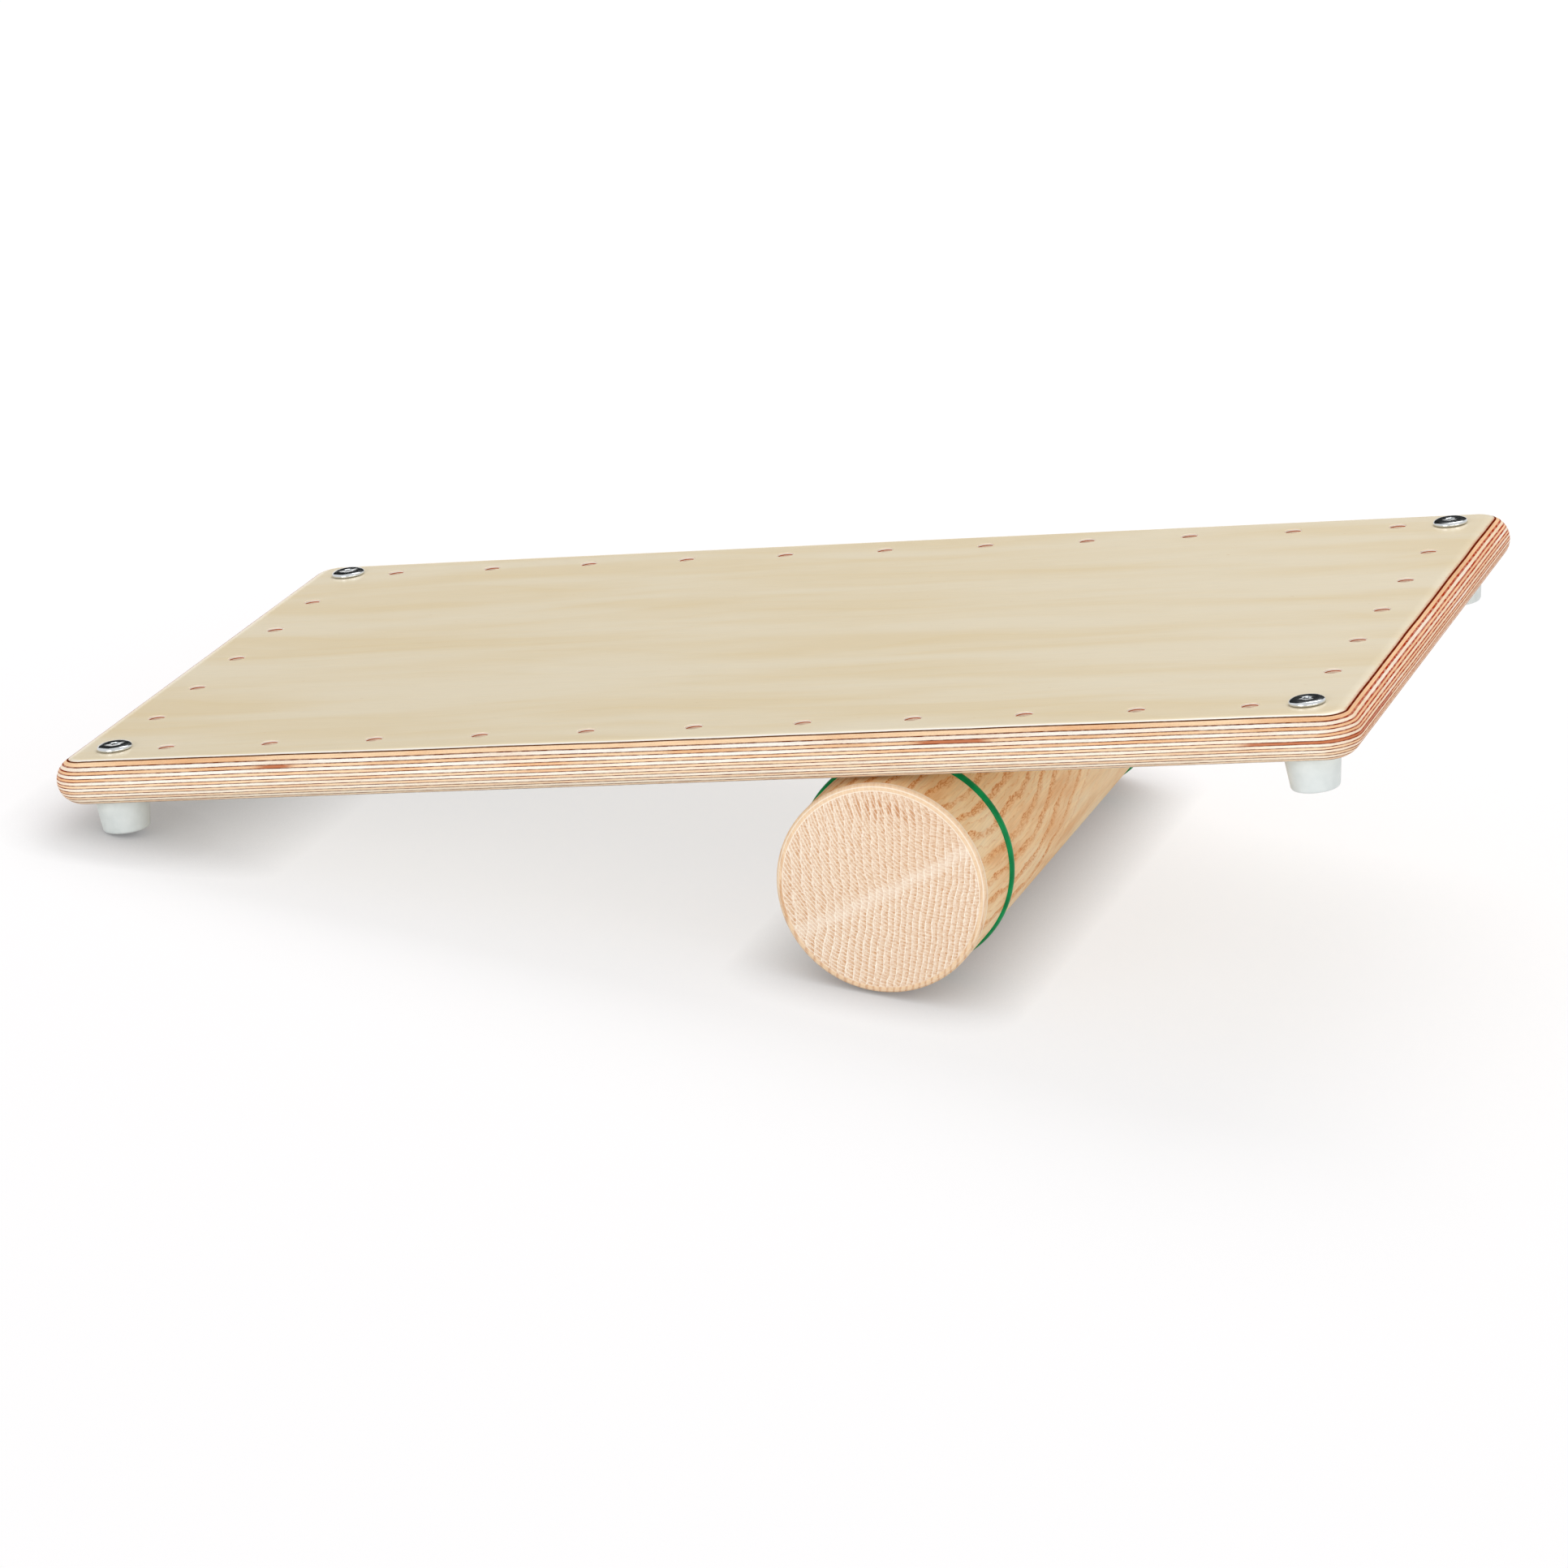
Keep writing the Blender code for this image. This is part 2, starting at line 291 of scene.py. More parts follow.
def birchPlywood(look):
    material, add, shader = newMaterial("lacquered birch plywood")

    # Millimetres from the middle of the deck's top: along, across and up.
    topCenter = deckPoint(0, 0, deck["thickness"])
    local = inMillimetres(add, Location=-(deckTurn.inverted() @ topCenter) / millimetre,
                          Rotation=(0, deckPlace["tilt"], 0))
    along, across, up = add("SeparateXYZ", [local]).outputs
    sway, fibre, broad, bend, grain, fleck, glueBreak = stretchedNoises(
        add, local, look["noises"])
    setInputs(broad, {"Distortion": 0.4})

    # Which ply, and how far to the nearest glue line. Plies waver by a tenth of a millimetre.
    drift = add("Math", [sway, 0.5], "SUBTRACT")
    below = add("Math", [up, -1.0], "MULTIPLY")
    level = add("Math", [drift, look["waver"], below], "MULTIPLY_ADD")
    pair = look["peachPly"] + look["palePly"]
    firstTwo = look["faceVeneer"] + look["peachPly"]
    shrink = look["sandedOff"] / (look["peachPly"] + look["sandedOff"])
    nearTop = add("Math", [add("Math", [firstTwo, level], "SUBTRACT"), 0.0], "MAXIMUM")
    # 0 on the long edges, 1 on the short ones, turning over round each corner.
    beyond = []
    for axis, size in ((along, deck["length"]), (across, deck["width"])):
        start = (size / 2 - deck["cornerRadius"]) / millimetre
        beyond.append(add("Math", [add("Math", [add("Math", [axis], "ABSOLUTE"), start],
            "SUBTRACT"), 0.0], "MAXIMUM"))
    beyondBoth = add("Math", beyond, "ADD")
    atEnd = add("Math", [beyond[0], beyondBoth], "DIVIDE")
    notEnd = add("Math", [1.0, atEnd], "SUBTRACT")
    inBore = add("Math", [beyondBoth, 0.001], "LESS_THAN")
    onLong = add("Math", [notEnd, inBore], "SUBTRACT")
    # Only the long edges were sanded deep. The faces themselves stay clear of any glue line.
    within = add("Clamp", {"Value": level, "Min": 0.05,
        "Max": deck["thickness"] / millimetre - 0.4})
    depth = add("Math", [nearTop, add("Math", [onLong, shrink], "MULTIPLY"), within],
        "MULTIPLY_ADD")
    inside = add("Math", [depth, look["faceVeneer"]], "SUBTRACT")
    inPair = add("Math", [inside, pair], "FLOORED_MODULO")
    pairIndex = add("Math", [add("Math", [inside, pair], "DIVIDE")], "FLOOR")
    isPale = add("Math", [inPair, look["peachPly"]], "GREATER_THAN")
    plyNumber = add("Math", [add("Math", [pairIndex, 2.0, 2.0], "MULTIPLY_ADD"), isPale], "ADD")
    toMiddle = add("Math", [add("Math", [inPair, look["peachPly"]], "SUBTRACT")], "ABSOLUTE")
    toEnd = add("Math", [pair, inPair], "SUBTRACT")
    toGlue = add("Math", [add("Math", [inPair, toMiddle], "MINIMUM"), toEnd], "MINIMUM")

    # Ply colours, with a tone of their own and slow changes along the edge.
    paleTone = add("Mix", [atEnd, look["paleLong"], look["paleEnd"]], "RGBA")
    peachTone = add("Mix", [atEnd, look["peachLong"], look["peachEnd"]], "RGBA")
    plyShift = add("CombineXYZ", [add("Math", [along, 1 / look["toneLength"]], "MULTIPLY"),
        add("Math", [across, 1 / look["toneLength"]], "MULTIPLY"),
        add("Math", [plyNumber, 5.3], "MULTIPLY")])
    slow = add("TexNoise", {"Vector": plyShift, "Scale": 1.0, "Detail": 3.0})
    slowShare = add("MapRange", [slow, 0.42, 0.66], "SMOOTHSTEP")
    paleVaried = add("Mix", [slowShare, paleTone, look["blush"]], "RGBA")
    peachVaried = add("Mix", [slowShare, peachTone, look["peachDeep"]], "RGBA")
    # Towards the underside all plies turn cream on the long edges. On the short edges the peach
    # plies turn darker brown there, and the glue lines browner, as painted shade.
    paleAtEnd = add("Math", [atEnd, isPale], "MULTIPLY")
    creamAndShadeLow = add("Math", [add("MapRange", [depth, *look["lowFrom"], 0.0, look["lowShare"]]),
        add("Math", [paleAtEnd, -0.85, 1.0], "MULTIPLY_ADD")], "MULTIPLY")
    creamAndShadeTone = add("Mix", [atEnd, look["lowLong"], look["lowEndShade"]], "RGBA")
    plyMixed = add("Mix", [isPale, peachVaried, paleVaried], "RGBA")
    plyEdge = add("Mix", [creamAndShadeLow, plyMixed, creamAndShadeTone], "RGBA")
    # Painted light: the plies in the holes are drawn paler, where the walls lie in shade.
    boreLightShare = add("Math", [inBore, 0.85], "MULTIPLY")
    plyColor = add("Mix", [boreLightShare, plyEdge, look["borePaintedLight"]], "RGBA")

    # Fibres run level along every edge, 0.3 mm thick and a centimetre or so long.
    fibreShade = add("MapRange", [fibre, 0.35, 0.62, 0.90, 1.05])
    speck = add("TexNoise", {"Vector": local, "Scale": 1.9, "Detail": 2.0})
    speckShade = add("MapRange", [speck, 0.36, 0.5, 0.91, 1.0])
    edgeShade = add("Math", [fibreShade, speckShade], "MULTIPLY")
    plyShaded = add("VectorMath", {0: plyColor, "Scale": edgeShade}, "SCALE")

    # Rust-brown stains in single plies of the front edge.
    stainNoise = add("Math", [fibre, 16.0, -8.0], "MULTIPLY_ADD")
    ragged = add("Math", [along, stainNoise], "ADD")
    front = add("Math", [across, -100.0], "LESS_THAN")
    stained = None
    for ply, start, end in look["stains"]:
        middle, reach = (start + end) / 2, (end - start) / 2
        distance = add("Math", [add("Math", [ragged, middle], "SUBTRACT")], "ABSOLUTE")
        near = add("MapRange", [distance, reach + 3.0, reach - 5.0])
        inPly = add("Math", [plyNumber, ply, 0.5], "COMPARE")
        one = add("Math", [near, inPly], "MULTIPLY")
        stained = one if stained is None else add("Math", [stained, one], "MAXIMUM")
    stainShare = add("Math", [add("Math", [stained, front], "MULTIPLY"), 0.85], "MULTIPLY")
    plyStained = add("Mix", [stainShare, plyShaded, look["rust"]], "RGBA")

    # The face veneer: a wide soft figure, faint curved lines, fine grain and a few orange flecks.
    broadShare = add("MapRange", [broad, 0.36, 0.66], "SMOOTHSTEP")
    veneer = add("Mix", [broadShare, look["veneerLight"], look["veneer"]], "RGBA")
    phase = add("Math", [bend, look["figureBend"],
        add("Math", [across, 1 / look["figurePitch"]], "MULTIPLY")], "MULTIPLY_ADD")
    ringWave = add("Math", [phase, 1.0], "FLOORED_MODULO")
    ringLine = add("MapRange", [ringWave, 0.55, 0.97], "SMOOTHSTEP")
    lineShare = add("Math", [ringLine, add("Math", [broadShare, 0.5, 0.12], "MULTIPLY_ADD")],
        "MULTIPLY")
    lineFaint = add("Math", [lineShare, 0.38], "MULTIPLY")
    figured = add("Mix", [lineFaint, veneer, look["veneerYellow"]], "RGBA")
    grainShade = add("MapRange", [grain, 0.3, 0.7, 0.955, 1.03])
    grained = add("VectorMath", {0: figured, "Scale": grainShade}, "SCALE")
    fleckShare = add("MapRange", [fleck, 0.765, 0.84, 0.0, 0.55])
    flecked = add("Mix", [fleckShare, grained, look["fleck"]], "RGBA")
    # Below its face the veneer gets a painted highlight, pale where it is rounded over on the long
    # edges and in the holes, and on the short edges an orange bleed runs back from the first glue
    # line.
    underFace = add("Math", [level, add("Math", [deck["thickness"] / millimetre, level],
        "SUBTRACT")], "MINIMUM")
    roundedHighlight = add("MapRange", [underFace, 0.14, 0.34, 0.0, 0.9])
    highlightShare = add("Math", [roundedHighlight, add("Math", [notEnd, inBore], "MAXIMUM")], "MULTIPLY")
    veneerHighlit = add("Mix", [highlightShare, flecked, look["veneerHighlight"]], "RGBA")
    bleed = add("MapRange", [add("Math", [grain, 0.9, underFace], "MULTIPLY_ADD"),
        0.95, 1.3, 0.0, 0.7])
    bleedShare = add("Math", [bleed, atEnd], "MULTIPLY")
    veneerEdge = add("Mix", [bleedShare, veneerHighlit, look["arrisGlow"]], "RGBA")

    # Both face veneers, then the glue lines over everything.
    aboveFirst = add("Math", [plyNumber, 1.5], "LESS_THAN")
    belowLast = add("Math", [plyNumber, 14.5], "GREATER_THAN")
    isFace = add("Math", [aboveFirst, belowLast], "MAXIMUM")
    layered = add("Mix", [isFace, plyStained, veneerEdge], "RGBA")
    glueStrength = add("MapRange", [glueBreak, 0.36, 0.58, 0.6, 1.0])
    glueHalf = add("Math", [add("Math", [atEnd, inBore], "ADD"),
        look["glueHalf"] * look["glueWiderAtEnd"], look["glueHalf"]], "MULTIPLY_ADD")
    # The first line is the darkest and thinnest: sanding dust packs into it at the arris.
    isFirst = add("MapRange", [depth, 1.7, 1.4])
    thinned = add("Math", [glueHalf, add("Math", [isFirst, -look["firstThinner"], 1.0],
        "MULTIPLY_ADD")], "MULTIPLY")
    glueMask = add("MapRange", [add("Math", [toGlue, thinned], "SUBTRACT"), look["glueFade"], 0.0])
    glueDown = add("Math", [creamAndShadeLow, 2.0], "MULTIPLY")
    glueAtEnd = add("Mix", [glueDown, look["glueEnd"], look["glueLow"]], "RGBA")
    glueColor = add("Mix", [atEnd, look["glueLong"], glueAtEnd], "RGBA")
    firstColor = add("Mix", [atEnd, *look["glueFirst"]], "RGBA")
    glueFull = add("Math", [isFirst, 0.35, glueStrength], "MULTIPLY_ADD")
    glueShare = add("Math", [glueFull, glueMask], "MULTIPLY", use_clamp=True)
    glueToned = add("Mix", [isFirst, glueColor, firstColor], "RGBA")
    # In the holes the glue lines are drawn lighter too, as painted light.
    glueSeen = add("Mix", [inBore, glueToned, look["glueBorePaintedLight"]], "RGBA")
    finalColor = add("Mix", [glueShare, layered, glueSeen], "RGBA")

    bumpHeight = add("Mix", [isFace, edgeShade, grainShade])
    bump = add("Bump", {"Height": bumpHeight, "Strength": 0.25,
        "Distance": look["bumpDepth"] * millimetre})
    roughness = add("Math", [grain, 0.16, look["roughness"] - 0.08], "MULTIPLY_ADD")
    # The glue lines are open and matt, without the lacquer's sheen.
    glossy = add("Math", [1.0, glueShare], "SUBTRACT")
    sheen = add("Math", [glossy, add("MapRange", [isFace, 0.0, 1.0, *look["sheen"]])], "MULTIPLY")
    coat = add("Math", [add("MapRange", [isFace, 0.0, 1.0, *look["lacquer"]]), glossy], "MULTIPLY")
    setInputs(shader, {"Base Color": finalColor, "Roughness": roughness, "Normal": bump,
        "IOR": look["refraction"], "Specular IOR Level": sheen, "Coat Weight": coat,
        "Coat Roughness": look["lacquerRoughness"]})
    return material


# Turned ash, sanded and left matt. Growth rings cross the sawn end nearly upright and bend along
# one ridge. The turned side grazes them in wide bands of open orange pores, which lie along the
# roller at the near end and climb round it further back.
ashLook = {
    "ground": "#F1CFA0",
    "groundWarm": "#E7B680",
    "groundPale": "#F4DCB6",
    "pore": "#CC7D3B",
    "poreBand": "#E6A460",
    # Pale early wood, and the colour of the painted sheen and highlight lines on the end.
    "endPaleAndHighlight": "#FCF1E2",
    "endBase": "#E6C8AA",
    "endWarm": "#D2A47C",
    "endShadow": "#C68E60",
    "rim": "#F1D3AE",
    "rimLine": "#C98F57",
    "bandsRound": 31,        # ring bands counted round the side
    "climb": 0.26,           # mm round for each mm along, once the bands turn
    "climbFrom": 80.0,       # mm from the near end
    "climbSoft": 45.0,       # mm over which they turn
    "drift": 0.14,           # mm back round for each mm along
    "plainFrom": (13.4, 14.1),  # bands, beyond which the side is plain
    "plainTo": (2.8, 2.3),   # radians round from the top, before the underside
    "endSpacing": 3.4,       # mm between rings across the end
    "ridgeRise": 0.73,       # up for each mm to the right
    "ridgeHeight": 2.3,      # mm above the axis
    "rustDrawnOut": (0.28, 0, 1),
    "rustCenter": (-0.5, 0, 36),  # mm from the axis, once drawn out
    "rustReach": (7.0, 2.5),  # mm, where the rusty patches end and are full
    "rimHighlightLines": (44.4, 46.2),  # mm from the axis
    "sawCenter": (28, 0, 58),  # mm from the axis
    "sawPitch": 1.5,         # mm
    "roughness": 0.58,
    "center": (0, 0.0035, 0.049),
    "radius": 47.5,          # mm
    "halfLength": 175,       # mm
    "rounding": 2.6,         # mm
    "refraction": 1.45,
    # Size in mm across, along and up, then detail and roughness. The first three are unevenness
    # over the whole roller, over a ring, and over a few pores.
    "noises": {
        "wander": ((60, 90, 60), 1, 0.5),
        "uneven": ((13, 45, 13), 2, 0.5),
        "jitter": ((3, 9, 3), 3, 0.5),
        "cells": ((1.4, 5.5, 1.4), 1, 0.6),
        "cloud": ((13, 60, 13), 3, 0.5),
        "fibre": ((0.7, 24, 0.7), 3, 0.65),
        "rays": ((2.2, 0, 0.8), 2, 0.6),
        "spots": ((1.1, 8, 1.3), 2, 0.5),
    },
}


def turnedAsh(look):
    material, add, shader = newMaterial("sanded turned ash")

    # Millimetres from the roller's middle, with Y along its axis.
    local = inMillimetres(add, Location=-Vector(look["center"]) / millimetre)
    right, along, up = add("SeparateXYZ", [local]).outputs
    wander, uneven, jitter, cells, cloud, fibre, rays, spots = stretchedNoises(
        add, local, look["noises"])
    fromEnd = add("Math", [look["halfLength"], add("Math", [along], "ABSOLUTE")], "SUBTRACT")
    onEnd = add("Math", [fromEnd, 0.25], "LESS_THAN")
    onRim = add("Math", [fromEnd, look["rounding"]], "LESS_THAN")

    # End rings bend above a wavy ridge that rises to the right, and crowd towards the right.
    ridge = add("Math", [right, -look["ridgeRise"], up], "MULTIPLY_ADD")
    aboveRidge = add("Math", [uneven, 9.0, add("Math", [ridge, look["ridgeHeight"]], "SUBTRACT")],
        "MULTIPLY_ADD")
    ridgeSquare = add("Math", [aboveRidge, aboveRidge, 5.0], "MULTIPLY_ADD")
    bend = add("Math", [ridgeSquare], "SQRT")
    bent = add("Math", [bend, 0.11, right], "MULTIPLY_ADD")
    bowed = add("Math", [aboveRidge, 0.07, bent], "MULTIPLY_ADD")
    rippled = add("Math", [wander, 6.0, add("Math", [uneven, 3.2, bowed], "MULTIPLY_ADD")],
        "MULTIPLY_ADD")
    crowding = add("Math", [rippled, 0.0035, 1.0], "MULTIPLY_ADD")
    endRun = add("Math", [add("Math", [rippled, crowding], "MULTIPLY"), look["endSpacing"]],
        "DIVIDE")

    # Side bands are counted round the axis, then shifted by the climb along it.
    turn = add("Math", [right, up], "ARCTAN2")
    past = add("Math", [along, look["halfLength"] - look["climbFrom"]], "ADD")
    pastSquare = add("Math", [past, past, look["climbSoft"] ** 2], "MULTIPLY_ADD")
    turning = add("Math", [add("Math", [pastSquare], "SQRT"), past], "ADD")
    facing = add("VectorMath", [local, (0.94 / look["radius"], 0, 0.34 / look["radius"])],
        "DOT_PRODUCT")
    climbed = add("Math", [add("Math", [turning, facing], "MULTIPLY"), look["climb"],
        add("Math", [along, -look["drift"]], "MULTIPLY")], "MULTIPLY_ADD")
    perTurn = look["bandsRound"] / fullTurn
    counted = add("Math", [turn, perTurn, add("Math", [climbed, perTurn / look["radius"], 0.70],
        "MULTIPLY_ADD")], "MULTIPLY_ADD")
    sideRun = add("Math", [uneven, 1.0, add("Math", [wander, 1.0, counted], "MULTIPLY_ADD")],
        "MULTIPLY_ADD")
    ringRun = add("Mix", [onRim, sideRun, endRun])
    inRing = add("Math", [add("Math", [jitter, 0.35, ringRun], "MULTIPLY_ADD"), 1.0],
        "FLOORED_MODULO")
    # Early wood starts sharply and fades out over half of the ring.
    early = add("ValToRGB", [inRing], stops=((0.0, 0), (0.06, 1), (0.26, 0.8), (0.46, 0),
        (1.0, 0)))
    # Beyond the last climbing band the side is plain, as far as the underside.
    beyondBands = add("MapRange", [sideRun, *look["plainFrom"]])
    beforeUnder = add("MapRange", [turn, *look["plainTo"]])
    plain = add("Math", [beyondBands, beforeUnder], "MULTIPLY")

    # Side: in the early wood lie long open pores, drawn as the outlines of narrow cells.
    toOutline = add("Math", [add("Math", [cells, 0.5], "SUBTRACT")], "ABSOLUTE")
    outline = add("MapRange", [toOutline, 0.085, 0.02])
    # Some bands are fainter.
    faint = add("MapRange", [uneven, 0.32, 0.52, 0.45, 1.0])
    present = add("Math", [faint, add("Math", [plain, -0.88, 1.0], "MULTIPLY_ADD")], "MULTIPLY")
    # Finer and fainter lines of pores lie between the bands.
    inFine = add("Math", [add("Math", [sideRun, 3.0, jitter], "MULTIPLY_ADD"), 1.0],
        "FLOORED_MODULO")
    fine = add("ValToRGB", [inFine], stops=((0.0, 0), (0.1, 0.4), (0.3, 0)))
    inEither = add("Math", [early, fine], "MAXIMUM")
    earlyShare = add("Math", [present, inEither], "MULTIPLY")
    poreShare = add("Math", [add("Math", [outline, earlyShare], "MULTIPLY"), 0.95], "MULTIPLY")
    ground = add("ValToRGB", [cloud], stops=((0.34, look["groundWarm"]),
        (0.5, look["ground"]), (0.68, look["groundPale"])))
    farther = add("MapRange", [along, -60.0, 120.0, 1.02, 0.94])
    fibreShade = add("MapRange", [fibre, 0.32, 0.66, 0.88, 1.03])
    groundShade = add("Math", [fibreShade, farther], "MULTIPLY")
    groundShaded = add("VectorMath", {0: ground, "Scale": groundShade}, "SCALE")
    bandShare = add("Math", [earlyShare, 0.6], "MULTIPLY")
    banded = add("Mix", [bandShare, groundShaded, look["poreBand"]], "RGBA")
    side = add("Mix", [poreShare, banded, look["pore"]], "RGBA")

    # End: rows of pale early wood on a pinker ground, crossed by rays and by saw marks.
    raysShare = add("MapRange", [rays, 0.36, 0.56])
    endGround = add("Mix", [raysShare, look["endWarm"], look["endBase"]], "RGBA")
    poreRow = add("ValToRGB", [inRing], stops=((0.0, 0), (0.05, 1), (0.15, 0.85), (0.23, 0.1),
        (0.32, 0.65), (0.42, 0.05), (0.54, 0.35), (0.64, 0)))
    # The rows stand out more below the ridge.
    below = add("MapRange", [aboveRidge, 6.0, -8.0, 0.75, 1.25])
    rowStrength = add("Math", [poreRow, below], "MULTIPLY", use_clamp=True)
    endShare = add("Math", [rowStrength, add("MapRange", [spots, 0.41, 0.54, 0.34, 1.0])],
        "MULTIPLY")
    endRings = add("Mix", [endShare, endGround, look["endPaleAndHighlight"]], "RGBA")
    # A thin shadow closes each ring, and is deepest in a band of rusty patches near the top.
    drawnOut = add("VectorMath", [local, look["rustDrawnOut"]], "MULTIPLY")
    patch = add("MapRange", [add("VectorMath", [drawnOut, look["rustCenter"]], "DISTANCE"),
        *look["rustReach"]])
    patchy = add("Math", [patch, add("MapRange", [jitter, 0.38, 0.5])], "MULTIPLY")
    late = add("MapRange", [inRing, 0.74, 0.92])
    lateShare = add("Math", [late, add("MapRange", [rays, 0.44, 0.54, 1.0, 0.3])], "MULTIPLY")
    rusty = add("Math", [patchy, add("MapRange", [inRing, 0.40, 0.58, 0.0, 0.95])], "MULTIPLY")
    shadowShare = add("Math", [add("Math", [lateShare, 0.45], "MULTIPLY"), rusty], "MAXIMUM")
    endLined = add("Mix", [shadowShare, endRings, look["endShadow"]], "RGBA")
    # Painted sheen: a pale band along the ridge.
    paintedRidgeSheen = add("MapRange", [add("Math", [aboveRidge], "ABSOLUTE"), 6.5, 0.0, 0.0, 0.35],
        "SMOOTHSTEP")
    endWithSheen = add("Mix", [paintedRidgeSheen, endLined, look["endPaleAndHighlight"]], "RGBA")
    inFace = add("CombineXYZ", {"X": right, "Z": up})
    sawRun = add("VectorMath", [inFace, look["sawCenter"]], "DISTANCE")
    sawPhase = add("Math", [jitter, 7.0, add("Math", [sawRun, fullTurn / look["sawPitch"]],
        "MULTIPLY")], "MULTIPLY_ADD")
    sawWave = add("Math", [sawPhase], "SINE")
    sawLeft = add("MapRange", [right, 25.0, -25.0, 0.3, 0.75])
    sawShare = add("Math", [sawLeft, add("MapRange", [sawWave, 0.3, 1.0])], "MULTIPLY")
    sawn = add("Mix", [sawShare, endWithSheen, look["endPaleAndHighlight"]], "RGBA")

    # The turned rim is warmer, with the rings crossing it as stripes and two fine painted
    # highlight lines, stronger towards the top.
    fromAxis = add("VectorMath", [inFace], "LENGTH")
    lower = add("MapRange", [up, 22.0, -8.0, 0.25, 0.9])
    rimStripe = add("Mix", [add("Math", [early, lower], "MULTIPLY"), look["rim"],
        look["rimLine"]], "RGBA")
    rimStart = look["rimHighlightLines"][0]
    rimShare = add("MapRange", [fromAxis, rimStart - 0.3, rimStart + 0.5, 0.0, 0.75])
    rimmed = add("Mix", [rimShare, sawn, rimStripe], "RGBA")
    rimHighlightShare = None
    for line in look["rimHighlightLines"]:
        away = add("Math", [add("Math", [fromAxis, line], "SUBTRACT")], "ABSOLUTE")
        one = add("MapRange", [away, 0.32, 0.1, 0.0, 0.55])
        rimHighlightShare = one if rimHighlightShare is None else add("Math", [rimHighlightShare, one], "MAXIMUM")
    upper = add("MapRange", [up, -20.0, 10.0, 0.4, 1.4])
    rimHighlightFaded = add("Math", [rimHighlightShare, upper], "MULTIPLY")
    endColor = add("Mix", [rimHighlightFaded, rimmed, look["endPaleAndHighlight"]], "RGBA")

    # A painted highlight: a pale line where the rounding meets the turned side.
    rimEdgeHighlight = add("MapRange", [fromEnd, 1.5, 2.3, 0.0, 0.75])
    endRimHighlit = add("Mix", [rimEdgeHighlight, endColor, look["endPaleAndHighlight"]], "RGBA")
    whole = add("Mix", [onRim, side, endRimHighlit], "RGBA")
    relief = add("Math", [poreShare, add("Math", [onRim, 1.0], "SUBTRACT"), fibreShade],
        "MULTIPLY_ADD")
    bump = add("Bump", {"Height": relief, "Strength": 0.35, "Distance": 0.25 * millimetre})
    roughness = add("Math", [onEnd, 0.08, add("Math", [poreShare, 0.15, look["roughness"]],
        "MULTIPLY_ADD")], "MULTIPLY_ADD")
    setInputs(shader, {"Base Color": whole, "Roughness": roughness, "Normal": bump,
        "IOR": look["refraction"]})
    return material


# Moulded rubber: a soft even colour with a slight mottle and a few small specks, pale on the green
# and darker on the grey.
rubberLooks = {
    "green": {"name": "green moulded rubber", "base": "#008F50", "deep": "#00723F",
              "speck": "#7FD3A8", "speckAt": 0.79, "roughness": 0.36, "sheen": 0.12},
    "grey": {"name": "light grey moulded rubber", "base": "#DCE2E2", "deep": "#D2D9D9",
             "speck": "#B9BDB8", "speckAt": 0.78, "roughness": 0.44, "sheen": 0.4},
}


def mouldedRubber(look):
    material, add, shader = newMaterial(look["name"])

    local = inMillimetres(add)
    mottle = add("TexNoise", {"Vector": local, "Scale": 1 / 7, "Detail": 3.0})
    mottled = add("Mix", [add("MapRange", [mottle, 0.35, 0.7]), look["base"], look["deep"]],
        "RGBA")
    speckle = add("TexNoise", {"Vector": local, "Scale": 1 / 0.9, "Detail": 1.0})
    speckleShare = add("MapRange", [speckle, look["speckAt"], look["speckAt"] + 0.05, 0.0, 0.7])
    speckled = add("Mix", [speckleShare, mottled, look["speck"]], "RGBA")
    skin = add("TexNoise", {"Vector": local, "Scale": 1 / 0.5, "Detail": 2.0})
    bump = add("Bump", {"Height": skin, "Strength": 0.15, "Distance": 0.1 * millimetre})
    roughness = add("Math", [mottle, 0.2, look["roughness"] - 0.1], "MULTIPLY_ADD")
    setInputs(shader, {"Base Color": speckled, "Roughness": roughness, "Normal": bump, "IOR": 1.5,
        "Specular IOR Level": look["sheen"]})
    return material


# Plated steel: nickel is bright and near mirror, zinc is greyer with a cloudy crystal bloom.
platingLooks = {
    "nickel": {"name": "polished nickel plate", "base": "#D3D6D8", "cloud": "#C6CACC",
               "grain": 2.5, "roughness": 0.10, "spread": 0.07},
    "zinc": {"name": "plain zinc plate", "base": "#BEC3C8", "cloud": "#A3A9B0",
             "grain": 1.2, "roughness": 0.28, "spread": 0.22},
}


def platedSteel(look):
    material, add, shader = newMaterial(look["name"])

    local = inMillimetres(add)
    bloom = add("TexNoise", {"Vector": local, "Scale": 1 / look["grain"], "Detail": 3.0})
    tone = add("Mix", [bloom, look["base"], look["cloud"]], "RGBA")
    roughness = add("Math", [bloom, look["spread"], look["roughness"]], "MULTIPLY_ADD")
    bump = add("Bump", {"Height": bloom, "Strength": 0.05, "Distance": 0.1 * millimetre})
    setInputs(shader, {"Base Color": tone, "Metallic": 1.0, "Roughness": roughness,
        "Normal": bump})
    return material


# Deck, in metres

deck = {
    "length": 0.600,
    "width": 0.350,
    "thickness": 0.021,
    "cornerRadius": 0.016,
    "holeDiameter": 0.008,
    "boltHoleDiameter": 0.0066,
    "holeEase": 0.0003,
    "pitch": 0.050,
    "rimInset": 0.025,
    "holesAlong": 11,
    "holesAcross": 5,
    "holeSides": 48,
    "edgeSteps": 37,
    "cornerSteps": 16,
}


